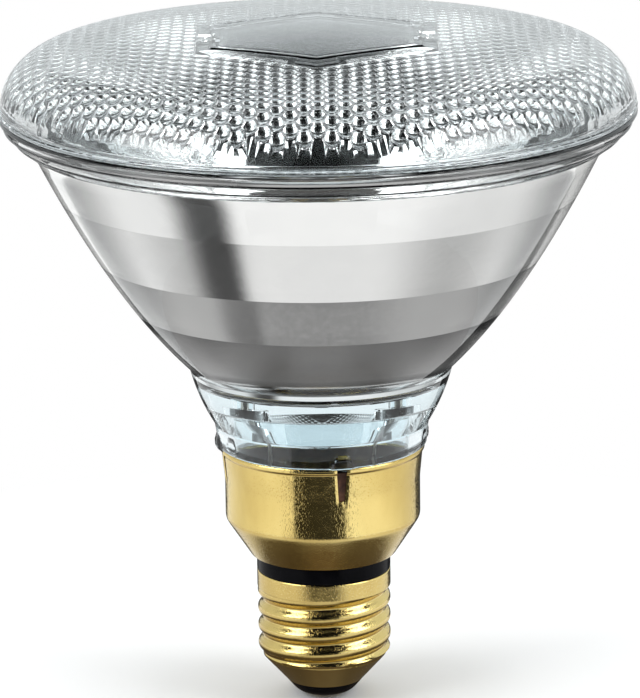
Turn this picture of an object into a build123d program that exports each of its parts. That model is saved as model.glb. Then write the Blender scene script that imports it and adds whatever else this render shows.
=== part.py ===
from build123d import *
import math
import os

# Clear pressed-glass reflector lamp with a skirted screw cap, cap down.
# Millimetres, +Z up. The origin is the lowest point of the centre contact, on the axis.

# Centre contact and end insulator
solder_radius = 1.6
solder_tip_radius = 1.0
solder_drop = 0.2
contact_radius = 3.4
contact_thickness = 0.4
eyelet_radius = 1.1
eyelet_length = 2.2
insulator_end_radius = 4.8
insulator_edge_rise = 0.9
insulator_height = 2.8
insulator_plug_height = 4.2

# Screw shell, with a right-hand rounded thread
shell_wall = 0.45
shell_mouth_radius = 7.55
shell_cone_height = 5.1
shell_length = 22.6
collar_radius = 13.1
collar_height = 3.4
thread_root_radius = 12.1
thread_crest_radius = 13.05
thread_pitch = 3.629
thread_base_width = 3.2
thread_shoulder_radius = 12.65
thread_shoulder_width = 1.8
thread_crest_width = 0.6
thread_sink = 0.25
thread_first_crest = 9.0
thread_seam_turn = 45.0

# Insulating ring between shell and skirt
ring_radius = collar_radius
ring_height = 3.4
ring_bore_radius = 8.0
ring_spigot_depth = 2.8

# Brass skirt
skirt_wall = 0.4
skirt_flange_radius = 11.5
skirt_foot_radius = 14.35
skirt_cone_height = 7.4
skirt_barrel_radius = 19.05
skirt_barrel_height = 7.7
skirt_flare_radius = 19.6
skirt_flare_height = 5.7
skirt_lip_radius = 20.0
skirt_lip_height = 1.2
skirt_lip_turn = 0.3
skirt_bend_radius = 2.5
slot_count = 4
slot_first_angle = -79.0
slot_depth = 6.7
slot_top_width = 2.1
slot_foot_width = 1.2
cement_foot = 1.0

# Glass heel, neck and bowl
heel_radius = 18.0
heel_bore_radius = 16.6
heel_depth = 10.9
shoulder_radius = 20.4
shoulder_chamfer = 0.4
band_top_radius = 20.9
band_height = 4.8
neck_top_radius = 25.65
neck_height = 16.2
neck_bulge = 0.5
floor_thickness = 3.4
floor_drop = 2.8
bowl_mouth_radius = 55.35
bowl_height = 44.8
bowl_wall = 3.2
boss_radius = 15.5
boss_drop = 6.6
exhaust_radius = 1.8
exhaust_length = 2.4
exhaust_tip_radius = 0.8
lug_foot_width = 4.4
lug_top_width = 2.6
lug_height = 2.7
lug_stand = 0.55

# Flange of the bowl and edge of the lens
rim_radius = 61.2
rim_height = 5.8
rim_band_taper = 1.2
rim_band_height = 2.45
rim_waist_taper = 3.2
rim_waist_height = 1.5
rim_foot_taper = 4.6
seam_chamfer = 0.4

# Mirror on the inside of the bowl: heights of its steps above its lower end
mirror_thickness = 0.12
mirror_step = 0.3
mirror_step_heights = (13.0, 23.0, 35.4)

# Lens
lens_height = 14.3
lens_thickness = 3.0
lens_dome_radius = 470.0
lens_edge_step = 0.3
lens_shoulder_radius = 11.3
lens_ridge_height = 1.9
lens_groove = 0.45
medallion_flat_width = 40.0
medallion_rise = 0.35

# Inside: ferrules, posts, filament and leads
ferrule_spacing = 20.0
ferrule_radius = 3.2
ferrule_wall = 0.35
ferrule_length = 6.6
ferrule_seat = 1.4
post_radius = 0.8
post_hole_radius = 1.6
filament_height = 5.6
filament_radius = 0.9
filament_coil_length = 14.0
filament_tail_radius = 0.25
lead_radius = 0.35
lead_bend = 3.0
shell_solder_radius = 0.9
shell_solder_height = 0.6
shell_solder_drop = 2.7
shell_lead_radius = 6.8
shell_lead_drop = 2.2
fit_clearance = 0.05

# Heights, stacked from the contact up
contact_z = solder_drop
insulator_z = contact_z + contact_thickness
mouth_z = insulator_z + insulator_height
cone_top_z = mouth_z + shell_cone_height
shell_top_z = mouth_z + shell_length
thread_start_z = mouth_z + shell_cone_height / 2
thread_end_z = shell_top_z - collar_height / 2
ring_top_z = shell_top_z + ring_height
bend_z = ring_top_z + skirt_cone_height
flare_z = bend_z + skirt_barrel_height
lip_z = flare_z + skirt_flare_height
skirt_top_z = lip_z + skirt_lip_height
heel_z = skirt_top_z - heel_depth
band_top_z = skirt_top_z + band_height
neck_top_z = skirt_top_z + neck_height
floor_top_z = neck_top_z - floor_drop
floor_z = floor_top_z - floor_thickness
bowl_top_z = neck_top_z + bowl_height
seam_z = bowl_top_z + rim_height
apex_z = seam_z + lens_height
ferrule_z = floor_z + ferrule_seat - ferrule_length
filament_z = floor_top_z + filament_height
slot_angles = [slot_first_angle + k * 360 / slot_count for k in range(slot_count)]
standing = (Align.CENTER, Align.CENTER, Align.MIN)
lens_edge_radius = rim_radius - lens_edge_step
rim_bore_radius = lens_edge_radius - lens_thickness


def turned(section):
    # Solid of revolution of a flat section drawn as (radius, height)
    return revolve(Plane.XZ * section, Axis.Z)


def set_in(points, wall):
    # An outer line, going up, moved towards the inside by the wall
    inner = []
    for k, point in enumerate(points):
        normals = []
        for a, b in ((k - 1, k), (k, k + 1)):
            if a >= 0 and b < len(points):
                run = Vector(*points[b]) - Vector(*points[a])
                normals.append(Vector(-run.Y, run.X).normalized())
        middle = sum(normals, Vector()).normalized()
        reach = wall / middle.dot(normals[0])
        inner.append((point[0] + middle.X * reach, point[1] + middle.Y * reach))
    return inner


def sheet(points, wall):
    # Section of a bent sheet, from its outer line
    return Polygon(*points, *reversed(set_in(points, wall)), align=None)


def trapezium(angle, foot_z, top_z, foot_width, top_width, inner, outer):
    # Tapered block that stands radially at an angle round the axis
    outward = Vector(1, 0).rotate(Axis.Z, angle)
    plane = Plane((0, 0, 0), x_dir=outward.rotate(Axis.Z, 90), z_dir=outward)
    outline = Polygon((-foot_width / 2, foot_z), (foot_width / 2, foot_z),
                      (top_width / 2, top_z), (-top_width / 2, top_z), align=None)
    return extrude(plane.offset(inner) * outline, outer - inner)


def lead(points):
    # Round wire along straight runs joined by arcs
    path = FilletPolyline(*points, radius=lead_bend)
    start = Plane(path @ 0, z_dir=path % 0)
    return sweep(start * Circle(lead_radius), path=path)


def cone_radius(z, wall=0):
    # Shell's end cone at a height, or the cone that lies inside it by a wall
    slope = (thread_root_radius - shell_mouth_radius) / shell_cone_height
    return shell_mouth_radius + slope * (z - mouth_z) - wall * math.hypot(1, slope)


def bowl_radius(z):
    # Outside of the bowl: the square of the radius grows evenly with height
    share = (z - neck_top_z) / bowl_height
    return math.sqrt(neck_top_radius ** 2 + share * (bowl_mouth_radius ** 2 - neck_top_radius ** 2))


def make_contact():
    plate = Cylinder(contact_radius, contact_thickness, align=standing)
    eyelet = Cylinder(eyelet_radius, contact_thickness + eyelet_length, align=standing)
    return Pos(0, 0, contact_z) * (plate + eyelet)


def make_contact_solder():
    section = Polygon((0, 0), (solder_tip_radius, 0), (solder_radius, contact_z), (0, contact_z), align=None)
    return turned(section)


def make_end_insulator():
    plug_top_z = mouth_z + insulator_plug_height
    edge_z = insulator_z + insulator_edge_rise
    hole_radius = eyelet_radius + fit_clearance
    seat = shell_wall + fit_clearance
    section = Polygon((hole_radius, insulator_z), (insulator_end_radius, insulator_z),
                      (cone_radius(edge_z), edge_z), (shell_mouth_radius, mouth_z),
                      (cone_radius(mouth_z, seat), mouth_z), (cone_radius(plug_top_z, seat), plug_top_z),
                      (hole_radius, plug_top_z), align=None)
    return turned(section)


def thread_ridge():
    # One rounded ridge, swept from +X up the helix into the collar and trimmed by the end cone
    helix = Helix(thread_pitch, thread_end_z - thread_start_z, thread_root_radius)
    half = [(thread_root_radius - thread_sink, thread_base_width / 2),
            (thread_shoulder_radius, thread_shoulder_width / 2),
            (thread_crest_radius, thread_crest_width / 2)]
    section = Polygon(*half, *[(r, -z) for r, z in reversed(half)], align=None)
    ridge = Pos(0, 0, thread_start_z) * sweep(Plane.XZ * section, path=helix, is_frenet=True)
    foot = Polygon((0, mouth_z), (cone_radius(mouth_z, thread_sink), mouth_z),
                   (cone_radius(shell_top_z, thread_sink), shell_top_z), (0, shell_top_z), align=None)
    return ridge & Rot(0, 0, thread_seam_turn) * turned(foot)


def make_screw_shell():
    collar_z = shell_top_z - collar_height
    rise = collar_radius - thread_root_radius
    line = [(shell_mouth_radius, mouth_z), (thread_root_radius, cone_top_z),
            (thread_root_radius, collar_z - rise), (collar_radius, collar_z), (collar_radius, shell_top_z)]
    inner = set_in(line, shell_wall)
    top = (inner[-1][0], shell_top_z + shell_wall)
    mouth = (inner[0][0], mouth_z - shell_wall)
    body = turned(Polygon((0, mouth_z), *line, (0, shell_top_z), align=None))
    core = turned(Polygon((0, mouth[1]), mouth, *inner, top, (0, top[1]), align=None))
    # The seams of the turned forms are kept away from both ends of the ridge
    aside = Rot(0, 0, thread_seam_turn)
    shell = aside * body + thread_ridge() - aside * core
    return Rot(0, 0, (thread_start_z - thread_first_crest) / thread_pitch * 360) * shell


def make_insulating_ring():
    low_z = shell_top_z - ring_spigot_depth
    high_z = ring_top_z + ring_spigot_depth
    low_radius = collar_radius - shell_wall - fit_clearance
    high_radius = skirt_flange_radius - fit_clearance
    section = Polygon((ring_bore_radius, low_z), (low_radius, low_z), (low_radius, shell_top_z),
                      (ring_radius, shell_top_z), (ring_radius, ring_top_z), (high_radius, ring_top_z),
                      (high_radius, high_z), (ring_bore_radius, high_z), align=None)
    return turned(section)


def make_skirt():
    bend = (skirt_barrel_radius, bend_z)
    line = [(skirt_flange_radius, ring_top_z), (skirt_foot_radius, ring_top_z), bend,
            (skirt_barrel_radius, flare_z), (skirt_flare_radius, lip_z),
            (skirt_lip_radius, lip_z + skirt_lip_turn), (skirt_lip_radius, skirt_top_z)]
    section = sheet(line, skirt_wall)
    skirt = turned(fillet(section.vertices().sort_by_distance(bend)[0], skirt_bend_radius))
    cutter_width = 2 * slot_top_width - slot_foot_width
    for angle in slot_angles:
        skirt -= trapezium(angle, skirt_top_z - slot_depth, skirt_top_z + slot_depth, slot_foot_width,
                           cutter_width, heel_radius, skirt_lip_radius + skirt_wall)
    return skirt


def make_skirt_cement():
    inner = heel_radius + fit_clearance
    outer = skirt_barrel_radius - skirt_wall - fit_clearance
    foot_z = heel_z - cement_foot
    section = Polygon((heel_bore_radius, foot_z), (outer, foot_z), (outer, lip_z), (inner, lip_z),
                      (inner, heel_z), (heel_bore_radius, heel_z), align=None)
    return turned(section)


def mirror_line():
    # Inside of the bowl as (radius, height): straight zones with a small step between them
    heights = [0, *mirror_step_heights, bowl_height]
    points = []
    for low, high in zip(heights, heights[1:]):
        step = mirror_step if high < bowl_height else 0
        points.append((bowl_radius(neck_top_z + low) - bowl_wall, neck_top_z + low))
        points.append((bowl_radius(neck_top_z + high) - bowl_wall - step, neck_top_z + high))
    return points


def make_mirror_film():
    line = mirror_line()
    inner = [(r - mirror_thickness, z) for r, z in reversed(line)]
    return turned(Polygon(*line, *inner, align=None))


def boss_height(r):
    # Underside of the floor, which bulges down as part of a ball
    ball = (boss_radius ** 2 + boss_drop ** 2) / (2 * boss_drop)
    return floor_z - boss_drop + ball - math.sqrt(ball ** 2 - r ** 2)


def make_reflector():
    neck_low = Vector(band_top_radius, band_top_z)
    neck_high = Vector(neck_top_radius, neck_top_z)
    bulge = Vector(neck_high.Y - neck_low.Y, neck_low.X - neck_high.X).normalized() * neck_bulge
    neck = Spline(neck_low, (neck_low + neck_high) * 0.5 + bulge, neck_high)
    handle = Vector((neck_top_radius + bowl_mouth_radius) / 2,
                    neck_top_z + bowl_height * neck_top_radius / (neck_top_radius + bowl_mouth_radius))
    bowl = Bezier(neck_high, handle, (bowl_mouth_radius, bowl_top_z))
    rim = [(rim_radius - rim_foot_taper, bowl_top_z),
           (rim_radius - rim_waist_taper, bowl_top_z + rim_waist_height),
           (rim_radius - rim_band_taper, seam_z - rim_band_height), (rim_radius, seam_z - seam_chamfer),
           (rim_radius - seam_chamfer, seam_z), (rim_bore_radius, seam_z)]
    inside = list(reversed(mirror_line()))
    tip_z = boss_height(0) - exhaust_length
    floor = [(inside[-1][0] - floor_drop, floor_top_z), (0, floor_top_z), (0, tip_z),
             (exhaust_tip_radius, tip_z), (exhaust_radius, boss_height(exhaust_radius))]
    boss = ThreePointArc(*[(r, boss_height(r)) for r in (exhaust_radius, boss_radius / 2, boss_radius)])
    heel = Polyline(boss @ 1, (heel_bore_radius, floor_z), (heel_bore_radius, heel_z), (heel_radius, heel_z),
                    (heel_radius, skirt_top_z), (shoulder_radius - shoulder_chamfer, skirt_top_z),
                    (shoulder_radius, skirt_top_z + shoulder_chamfer), neck_low)
    glass = turned(make_face([neck, bowl, Polyline(bowl @ 1, *rim, *inside, *floor), boss, heel]))
    for angle in slot_angles:
        glass += trapezium(angle, skirt_top_z, skirt_top_z + lug_height, lug_foot_width, lug_top_width,
                           heel_radius, shoulder_radius + lug_stand)
    for side in (-1, 1):
        seat = Pos(side * ferrule_spacing / 2, 0, floor_z + ferrule_seat)
        glass -= seat * Cylinder(post_hole_radius, 2 * floor_thickness)
        glass -= seat * Cylinder(ferrule_radius + fit_clearance, boss_drop + ferrule_seat,
                                 align=(Align.CENTER, Align.CENTER, Align.MAX))
    return glass


def lens_line(depth, end_z):
    # Dome and shoulder of the glass surface that lies a depth under the outside, down to a height
    centre = Vector(0, apex_z - lens_dome_radius)
    fillet_r = lens_edge_radius - lens_shoulder_radius
    reach = lens_dome_radius - lens_shoulder_radius
    fillet_centre = Vector(fillet_r, centre.Y + math.sqrt(reach ** 2 - fillet_r ** 2))
    dome_radius = lens_dome_radius - depth
    turn_radius = lens_shoulder_radius - depth
    upward = Vector(0, 1)
    slanted = (fillet_centre - centre).normalized()
    rise = max(0, end_z - fillet_centre.Y)
    outward = Vector(math.sqrt(turn_radius ** 2 - rise ** 2), rise).normalized()
    dome = ThreePointArc(*[centre + way.normalized() * dome_radius
                           for way in (upward, upward + slanted, slanted)])
    shoulder = ThreePointArc(*[fillet_centre + way.normalized() * turn_radius
                               for way in (slanted, slanted + outward, outward)])
    return dome, shoulder


def make_lens():
    ridge_z = seam_z + lens_ridge_height
    dome, shoulder = lens_line(0, ridge_z)
    inner_dome, inner_shoulder = lens_line(lens_thickness, seam_z)
    foot = inner_shoulder @ 1
    edge = [shoulder @ 1, (rim_radius - lens_groove / 2, ridge_z),
            (rim_radius - lens_groove, seam_z + lens_ridge_height / 2),
            (rim_radius, seam_z + seam_chamfer), (rim_radius - seam_chamfer, seam_z), (foot.X, seam_z)]
    if foot.Y > seam_z + fit_clearance:
        edge.append(foot)
    middle = Line(inner_dome @ 0, dome @ 0)
    glass = turned(make_face([dome, shoulder, Polyline(*edge), inner_shoulder, inner_dome, middle]))
    raised = Pos(0, 0, apex_z - lens_dome_radius) * Sphere(lens_dome_radius + medallion_rise)
    hexagon = Rot(0, 0, 30) * RegularPolygon(medallion_flat_width / 2, 6, major_radius=False)
    prism = extrude(Plane.XY.offset(apex_z - lens_thickness / 2) * hexagon, lens_thickness)
    return glass + (prism & raised)


def make_ferrule(side):
    line = [(post_radius, ferrule_z), (ferrule_radius, ferrule_z),
            (ferrule_radius, ferrule_z + ferrule_length)]
    return Pos(side * ferrule_spacing / 2, 0, 0) * turned(sheet(line, ferrule_wall))


def make_lead_post(side):
    post = Cylinder(post_radius, filament_z + 2 * post_radius - ferrule_z, align=standing)
    return Pos(side * ferrule_spacing / 2, 0, ferrule_z) * post


def make_filament():
    coil = Cylinder(filament_radius, filament_coil_length)
    tails = Cylinder(filament_tail_radius, ferrule_spacing - 2 * post_radius)
    return Pos(0, 0, filament_z) * Rot(0, 90, 0) * (coil + tails)


def make_wire_to_contact():
    start = -ferrule_spacing / 2
    eyelet_z = contact_z + contact_thickness + eyelet_length
    return lead([(start, 0, ferrule_z), (start, 0, flare_z), (0, 0, ring_top_z), (0, 0, eyelet_z)])


def shell_solder_place():
    bore_radius = thread_root_radius - shell_wall
    place_z = shell_top_z - ring_spigot_depth - shell_solder_drop
    return Vector(bore_radius - shell_solder_height, 0, place_z)


def make_wire_to_shell():
    start = ferrule_spacing / 2
    end = shell_solder_place()
    return lead([(start, 0, ferrule_z), (start, 0, flare_z), (shell_lead_radius, 0, ring_top_z),
                 (shell_lead_radius, 0, end.Z + shell_lead_drop), end])


def make_shell_solder():
    bore = Pos(0, 0, shell_top_z) * Cylinder(thread_root_radius - shell_wall, 2 * shell_length)
    drop = Cylinder(shell_solder_radius, shell_solder_height + shell_wall, align=standing)
    return Pos(shell_solder_place()) * Rot(0, 90, 0) * drop & bore


def main():
    parts = {
        "centre_contact": make_contact(),
        "contact_solder": make_contact_solder(),
        "end_insulator": make_end_insulator(),
        "screw_shell": make_screw_shell(),
        "insulating_ring": make_insulating_ring(),
        "skirt": make_skirt(),
        "skirt_cement": make_skirt_cement(),
        "reflector": make_reflector(),
        "mirror_film": make_mirror_film(),
        "lens": make_lens(),
        "filament": make_filament(),
        "wire_to_contact": make_wire_to_contact(),
        "wire_to_shell": make_wire_to_shell(),
    }
    for side, name in ((-1, "left"), (1, "right")):
        parts["ferrule_" + name] = make_ferrule(side)
        parts["lead_post_" + name] = make_lead_post(side)
    parts["shell_solder"] = make_shell_solder() - parts["wire_to_shell"]
    os.makedirs("parts", exist_ok=True)
    for name, shape in parts.items():
        export_step(shape, "parts/" + name + ".step")
        print(name, round(shape.volume, 2))


main()
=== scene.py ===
import math
import bmesh
import bpy
import numpy as np
from mathutils import Matrix, Vector
from mathutils.geometry import delaunay_2d_cdt


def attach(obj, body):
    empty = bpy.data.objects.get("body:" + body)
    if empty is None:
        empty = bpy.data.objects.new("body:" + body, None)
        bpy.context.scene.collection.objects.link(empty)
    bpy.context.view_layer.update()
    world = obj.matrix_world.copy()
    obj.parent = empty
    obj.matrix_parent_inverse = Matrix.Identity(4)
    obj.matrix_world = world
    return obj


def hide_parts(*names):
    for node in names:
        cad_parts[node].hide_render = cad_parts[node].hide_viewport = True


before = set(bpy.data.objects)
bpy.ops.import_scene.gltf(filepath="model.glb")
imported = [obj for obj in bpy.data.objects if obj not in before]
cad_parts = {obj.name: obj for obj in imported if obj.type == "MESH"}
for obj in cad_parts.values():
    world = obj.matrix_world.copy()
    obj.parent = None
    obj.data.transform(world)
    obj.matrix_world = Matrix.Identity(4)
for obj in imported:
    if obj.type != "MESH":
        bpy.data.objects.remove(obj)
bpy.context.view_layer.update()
mm = 0.001  # lengths below are millimetres unless a note says otherwise
scene = bpy.context.scene
print("frame loaded")

# Shapes: soft lines, turned sheets and flat fills


def smooth(low, high, value):
    t = min(1.0, max(0.0, (value - low) / (high - low)))
    return t * t * (3 - 2 * t)


def softLine(points, steps=5):
    # points are (radius, height) or (radius, height, rounding)
    line = []
    for k, point in enumerate(points):
        here = Vector(point[:2])
        if len(point) < 3 or k in (0, len(points) - 1):
            line.append(here)
            continue
        back = Vector(points[k - 1][:2]) - here
        ahead = Vector(points[k + 1][:2]) - here
        start = here + back.normalized() * min(point[2], back.length * 0.5)
        end = here + ahead.normalized() * min(point[2], ahead.length * 0.5)
        for step in range(steps + 1):
            t = step / steps
            line.append(start.lerp(here, t).lerp(here.lerp(end, t), t))
    return [(p.x, p.y) for p in line]


def newObject(name, data):
    obj = bpy.data.objects.new(name, data)
    scene.collection.objects.link(obj)
    return obj


def meshObject(name, verts, faces):
    mesh = bpy.data.meshes.new(name)
    mesh.from_pydata([(x * mm, y * mm, z * mm) for x, y, z in verts], [], faces)
    return newObject(name, mesh)


def ringFaces(low, high):
    count = max(len(low), len(high))
    made = []
    for k in range(count):
        j = (k + 1) % count
        if len(low) == 1:
            made.append((low[0], high[j], high[k]))
        elif len(high) == 1:
            made.append((low[k], low[j], high[0]))
        else:
            made.append((low[k], low[j], high[j], high[k]))
    return made


def turn(verts, faces, line, spokes, shift=None, closed=False):
    # adds a turned sheet to the lists; a radius of zero makes a pole
    rings = []
    for r, z in line:
        first = len(verts)
        if r < 1e-6:
            verts.append((0.0, 0.0, z))
            rings.append([first])
            continue
        for k in range(spokes):
            a = 2 * math.pi * k / spokes
            rr, zz = shift(a, r, z) if shift else (r, z)
            verts.append((rr * math.cos(a), rr * math.sin(a), zz))
        rings.append(list(range(first, first + spokes)))
    for low, high in zip(rings, rings[1:]):
        faces.extend(ringFaces(low, high))
    if closed:
        faces.extend(ringFaces(rings[-1], rings[0]))


def turnedObject(name, line, spokes, shift=None, closed=False):
    verts, faces = [], []
    turn(verts, faces, line, spokes, shift, closed)
    return meshObject(name, verts, faces)


def circlePoints(x, y, r, count):
    angles = [2 * math.pi * k / count for k in range(count)]
    return [(x + r * math.cos(a), y + r * math.sin(a)) for a in angles]


def loopEdges(first, count):
    return [(first + k, first + (k + 1) % count) for k in range(count)]


def fillFlat(coords, edges):
    # points, triangles of the area that an odd number of the edges shuts in, and each point's source
    made = delaunay_2d_cdt([Vector(c) for c in coords], edges, [], 0, 1e-6)
    points, tris, sources = made[0], made[2], made[3]
    seg = np.array([[coords[i], coords[j]] for i, j in edges])
    lowY = np.minimum(seg[:, 0, 1], seg[:, 1, 1])
    highY = np.maximum(seg[:, 0, 1], seg[:, 1, 1])
    rise = seg[:, 1, 1] - seg[:, 0, 1]
    rise[rise == 0] = 1e-12
    kept = []
    for tri in tris:
        middle = (points[tri[0]] + points[tri[1]] + points[tri[2]]) / 3
        hit = (lowY <= middle.y) & (highY > middle.y)
        x = seg[:, 0, 0] + (middle.y - seg[:, 0, 1]) / rise * (seg[:, 1, 0] - seg[:, 0, 0])
        if np.count_nonzero(hit & (x > middle.x)) % 2:
            kept.append(tuple(tri))
    return [tuple(p) for p in points], kept, sources


weld = 0.002  # points closer than this become one


def finishMesh(obj, angle):
    shape = bmesh.new()
    shape.from_mesh(obj.data)
    bmesh.ops.delete(shape, geom=[v for v in shape.verts if not v.link_faces], context="VERTS")
    bmesh.ops.remove_doubles(shape, verts=shape.verts, dist=weld * mm)
    bmesh.ops.recalc_face_normals(shape, faces=shape.faces)
    openEdges = sum(1 for e in shape.edges if len(e.link_faces) != 2)
    shape.to_mesh(obj.data)
    shape.free()
    obj.data.shade_smooth()
    obj.data.set_sharp_from_angle(angle=math.radians(angle))
    print(obj.name, len(obj.data.polygons), "faces,", openEdges, "open edges")


def settle(obj, node, material, angle=32):
    finishMesh(obj, angle)
    obj.data.materials.clear()
    obj.data.materials.append(material)
    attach(obj, "root")
    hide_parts(node)


# Nodes


def fill(tree, node, values):
    # a socket among the values is linked, anything else is set
    for key, value in values.items():
        if isinstance(value, bpy.types.NodeSocket):
            tree.links.new(value, node.inputs[key])
        else:
            node.inputs[key].default_value = value
    return node


def add(tree, kind, values=None):
    return fill(tree, tree.nodes.new(kind), values or {})


def sums(tree, operation, a, b=None):
    made = tree.nodes.new("ShaderNodeMath")
    made.operation = operation
    fill(tree, made, {0: a} if b is None else {0: a, 1: b})
    return made.outputs[0]


def axes(tree, vector):
    return add(tree, "ShaderNodeSeparateXYZ", {0: vector}).outputs


def joinAxes(tree, parts):
    return add(tree, "ShaderNodeCombineXYZ", parts).outputs[0]


def hexReach(tree, spot):
    # distance from the middle, square to the sides of a hexagon with points towards +Y and -Y
    side = sums(tree, "ABSOLUTE", spot["X"])
    lean = sums(tree, "MULTIPLY", sums(tree, "ABSOLUTE", spot["Y"]), math.sqrt(0.75))
    return sums(tree, "MAXIMUM", side, sums(tree, "ADD", sums(tree, "MULTIPLY", side, 0.5), lean))


def objectPlace(tree):
    return tree.nodes.new("ShaderNodeTexCoord").outputs["Object"]


def farOut(tree, place):
    made = tree.nodes.new("ShaderNodeVectorMath")
    made.operation = "LENGTH"
    tree.links.new(place, made.inputs[0])
    return made.outputs["Value"]


def noise(tree, place, scale, detail, stretch=(1, 1, 1), tilt=(0, 0, 0)):
    shaped = add(tree, "ShaderNodeMapping", {"Vector": place, "Scale": stretch, "Rotation": tilt})
    values = {"Vector": shaped.outputs["Vector"], "Scale": scale, "Detail": detail}
    return add(tree, "ShaderNodeTexNoise", values).outputs["Fac"]


def ramp(tree, factor, stops):
    # stops are (place, colour), or (place, level) for a grey
    made = add(tree, "ShaderNodeValToRGB", {"Fac": factor})
    points = made.color_ramp.elements
    while len(points) < len(stops):
        points.new(0.5)
    for point, (at, colour) in zip(points, stops):
        point.position = at
        point.color = (*colour, 1) if isinstance(colour, tuple) else (colour, colour, colour, 1)
    return made.outputs["Color"]


def clouded(tree, cloud, colours, low=0.3, high=0.7):
    # colours laid evenly over the middle of a noise
    last = len(colours) - 1
    return ramp(tree, cloud, [(low + (high - low) * k / last, colour) for k, colour in enumerate(colours)])


def spread(tree, factor, low, high, fromLow=0.3, fromHigh=0.7):
    values = {"Value": factor, "From Min": fromLow, "From Max": fromHigh, "To Min": low, "To Max": high}
    return add(tree, "ShaderNodeMapRange", values).outputs["Result"]


def bump(tree, height, strength, depth):
    values = {"Height": height, "Strength": strength, "Distance": depth}
    return add(tree, "ShaderNodeBump", values).outputs["Normal"]


# Materials, with lengths in metres and noise scales per metre


def newMaterial(name):
    material = bpy.data.materials.new(name)
    material.use_nodes = True
    tree = material.node_tree
    return material, tree, tree.nodes["Principled BSDF"], objectPlace(tree)


glass = {"ior": 1.48, "cloud": 60, "tintDrift": 0.02, "haze": 0.012, "wave": 120, "depth": 0.0004,
         "sand": 2600, "sandLift": 7.0, "sandFade": 0.001}


def glassMaterial(name, tints, span, relief, sandy=None):
    # the tint follows the height, with a little cloud in it
    material, tree, shader, place = newMaterial(name)
    spot = axes(tree, place)
    cloud = noise(tree, place, glass["cloud"], detail=2)
    drift = spread(tree, cloud, -glass["tintDrift"], glass["tintDrift"])
    rise = sums(tree, "ADD", spread(tree, spot["Z"], 0.0, 1.0, *span), drift)
    height = noise(tree, place, glass["wave"], detail=1)
    if sandy:  # half width and lowest height of the sandy hexagon
        inside = spread(tree, hexReach(tree, spot), 1.0, 0.0, sandy[0] - glass["sandFade"], sandy[0])
        upper = sums(tree, "GREATER_THAN", spot["Z"], sandy[1])
        sand = spread(tree, noise(tree, place, glass["sand"], detail=2), 0.0, glass["sandLift"])
        sand = sums(tree, "MULTIPLY", sand, sums(tree, "MULTIPLY", inside, upper))
        height = sums(tree, "ADD", height, sand)
    fill(tree, shader, {
        "Base Color": ramp(tree, rise, tints), "Roughness": spread(tree, cloud, 0.0, glass["haze"]),
        "Transmission Weight": 1.0, "IOR": glass["ior"],
        "Normal": bump(tree, height, relief, glass["depth"])})
    return material


metal = {"grain": 900, "depth": 0.0002, "marks": 4600, "markStretch": (1, 1, 0.4),
         "markTilt": (0.5, 0.5, 0.0), "markFrom": (0.55, 0.75), "grainUnderMarks": 0.2}


def metalMaterial(name, colours, rough, scale=70, stretch=(1, 1, 1), relief=0.06, marks=0.0):
    material, tree, shader, place = newMaterial(name)
    cloud = noise(tree, place, scale, detail=4, stretch=stretch)
    fine = noise(tree, place, metal["grain"], detail=2)
    height = fine
    if marks:  # short slanting marks over a faint grain
        slanting = noise(tree, place, metal["marks"], detail=1, stretch=metal["markStretch"],
                         tilt=metal["markTilt"])
        faint = sums(tree, "MULTIPLY", fine, metal["grainUnderMarks"])
        height = sums(tree, "ADD", faint, spread(tree, slanting, 0.0, marks, *metal["markFrom"]))
    fill(tree, shader, {
        "Base Color": clouded(tree, cloud, colours), "Roughness": spread(tree, fine, *rough), "Metallic": 1.0,
        "Normal": bump(tree, height, relief, metal["depth"])})
    return material


dull = {"depth": 0.0003}


def dullMaterial(name, colours, rough, scale=300, relief=0.3, gloss=0.4):
    material, tree, shader, place = newMaterial(name)
    cloud = noise(tree, place, scale, detail=5)
    fill(tree, shader, {
        "Base Color": clouded(tree, cloud, colours), "Roughness": spread(tree, cloud, *rough),
        "Specular IOR Level": gloss, "Normal": bump(tree, cloud, relief, dull["depth"])})
    return material


lensGlass = glassMaterial("lensGlass", [(0.0, (0.93, 0.965, 0.975)), (1.0, (0.945, 0.975, 0.985))],
                          (0.11, 0.133), 0.03, sandy=(0.0178, 0.1315))
bowlGlass = glassMaterial("bowlGlass", [(0.0, (0.86, 0.94, 0.97)), (0.45, (0.87, 0.945, 0.97)),
                                        (0.55, (0.985, 0.985, 0.98)), (1.0, (0.98, 0.985, 0.98))],
                          (0.04, 0.096), 0.05)
mirrorMetal = metalMaterial("mirrorMetal", [(0.91, 0.91, 0.905), (0.96, 0.96, 0.95)], (0.05, 0.09),
                            relief=0.01)
brass = metalMaterial("brass", [(0.52, 0.375, 0.12), (0.65, 0.49, 0.175), (0.75, 0.59, 0.23)], (0.08, 0.18),
                      stretch=(1, 1, 0.4), relief=0.22, marks=0.4)
contactBrass = metalMaterial("contactBrass", [(0.6, 0.46, 0.2), (0.78, 0.62, 0.3)], (0.25, 0.4))
solderMetal = metalMaterial("solderMetal", [(0.52, 0.52, 0.53), (0.7, 0.7, 0.71)], (0.3, 0.5), scale=400)
ferruleMetal = metalMaterial("ferruleMetal", [(0.10, 0.10, 0.10), (0.22, 0.22, 0.22)], (0.25, 0.4))
leadMetal = metalMaterial("leadMetal", [(0.5, 0.47, 0.42), (0.68, 0.64, 0.58)], (0.25, 0.4))
tungsten = metalMaterial("tungsten", [(0.3, 0.3, 0.31), (0.42, 0.42, 0.43)], (0.3, 0.45), scale=800)
blackGlaze = dullMaterial("blackGlaze", [(0.0015, 0.0015, 0.002), (0.003, 0.003, 0.004)], (0.15, 0.25),
                          relief=0.05, gloss=0.04)
cementClay = dullMaterial("cementClay", [(0.035, 0.012, 0.007), (0.075, 0.03, 0.018), (0.12, 0.06, 0.04)],
                          (0.7, 0.95), scale=700)
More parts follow.
